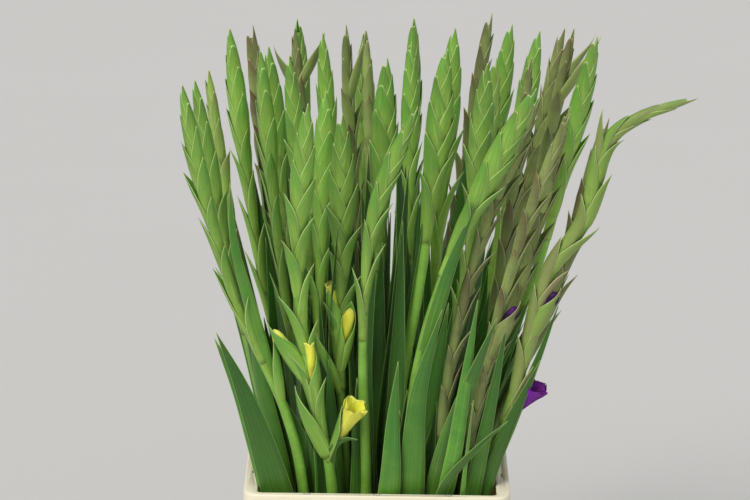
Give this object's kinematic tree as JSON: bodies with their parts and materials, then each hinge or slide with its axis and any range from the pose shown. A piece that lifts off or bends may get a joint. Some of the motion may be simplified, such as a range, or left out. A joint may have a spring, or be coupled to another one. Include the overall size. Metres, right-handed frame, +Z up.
{
  "type": "cut gladiolus",
  "caption": "Upright bunch of budding cut gladiolus spikes with sword leaves and a few yellow and purple blooms, standing in water in a cream flower bucket.",
  "frame": {"origin": "centre of the bucket's flat underside, where it stands", "axes": "+Z up along the stems, -Y towards the front of the bunch, +X towards its right, where one spike bends far out"},
  "size_m": [0.5, 0.3292, 0.789],
  "materials": {
    "bucket_plastic": "satin moulded plastic",
    "water": "clear still water",
    "green_stem": "fresh waxy leaf and bract",
    "dusky_stem": "dull olive bract flushed with brown and purple",
    "yellow_petal": "soft satin petal",
    "purple_petal": "soft satin petal"
  },
  "bodies": {
    "root": {"bucket": "bucket_plastic", "water": "water", "stem_a1": "green_stem", "stem_a2": "green_stem", "stem_a3": "green_stem", "stem_a4": "green_stem", "stem_a5": "dusky_stem", "stem_a6": "dusky_stem", "stem_a7": "green_stem", "stem_b1": "green_stem", "stem_b2": "green_stem", "stem_b3": "green_stem", "stem_b4": "green_stem", "stem_b5": "green_stem", "stem_b6": "dusky_stem", "stem_b7": "dusky_stem", "stem_c1": "dusky_stem", "stem_c2": "green_stem", "stem_c3": "green_stem", "stem_c4": "green_stem", "stem_c5": "green_stem", "stem_c6": "green_stem", "stem_c7": "dusky_stem", "stem_d1": "green_stem", "stem_d2": "green_stem", "stem_d3": "green_stem", "stem_d4": "dusky_stem", "stem_d5": "green_stem", "stem_d6": "green_stem", "stem_d7": "green_stem", "stem_e1": "dusky_stem", "stem_e2": "dusky_stem", "stem_e3": "dusky_stem", "stem_e4": "green_stem", "stem_e5": "green_stem", "stem_e6": "dusky_stem", "stem_f1": "green_stem", "stem_f2": "green_stem", "stem_f3": "dusky_stem", "stem_f4": "dusky_stem", "yellow_bud_1": "yellow_petal", "yellow_bud_2": "yellow_petal", "yellow_bud_3": "yellow_petal", "yellow_bud_4": "yellow_petal", "purple_bud_1": "purple_petal", "purple_bud_2": "purple_petal", "yellow_flower": "yellow_petal", "purple_flower": "purple_petal"}
  },
  "joints": []
}
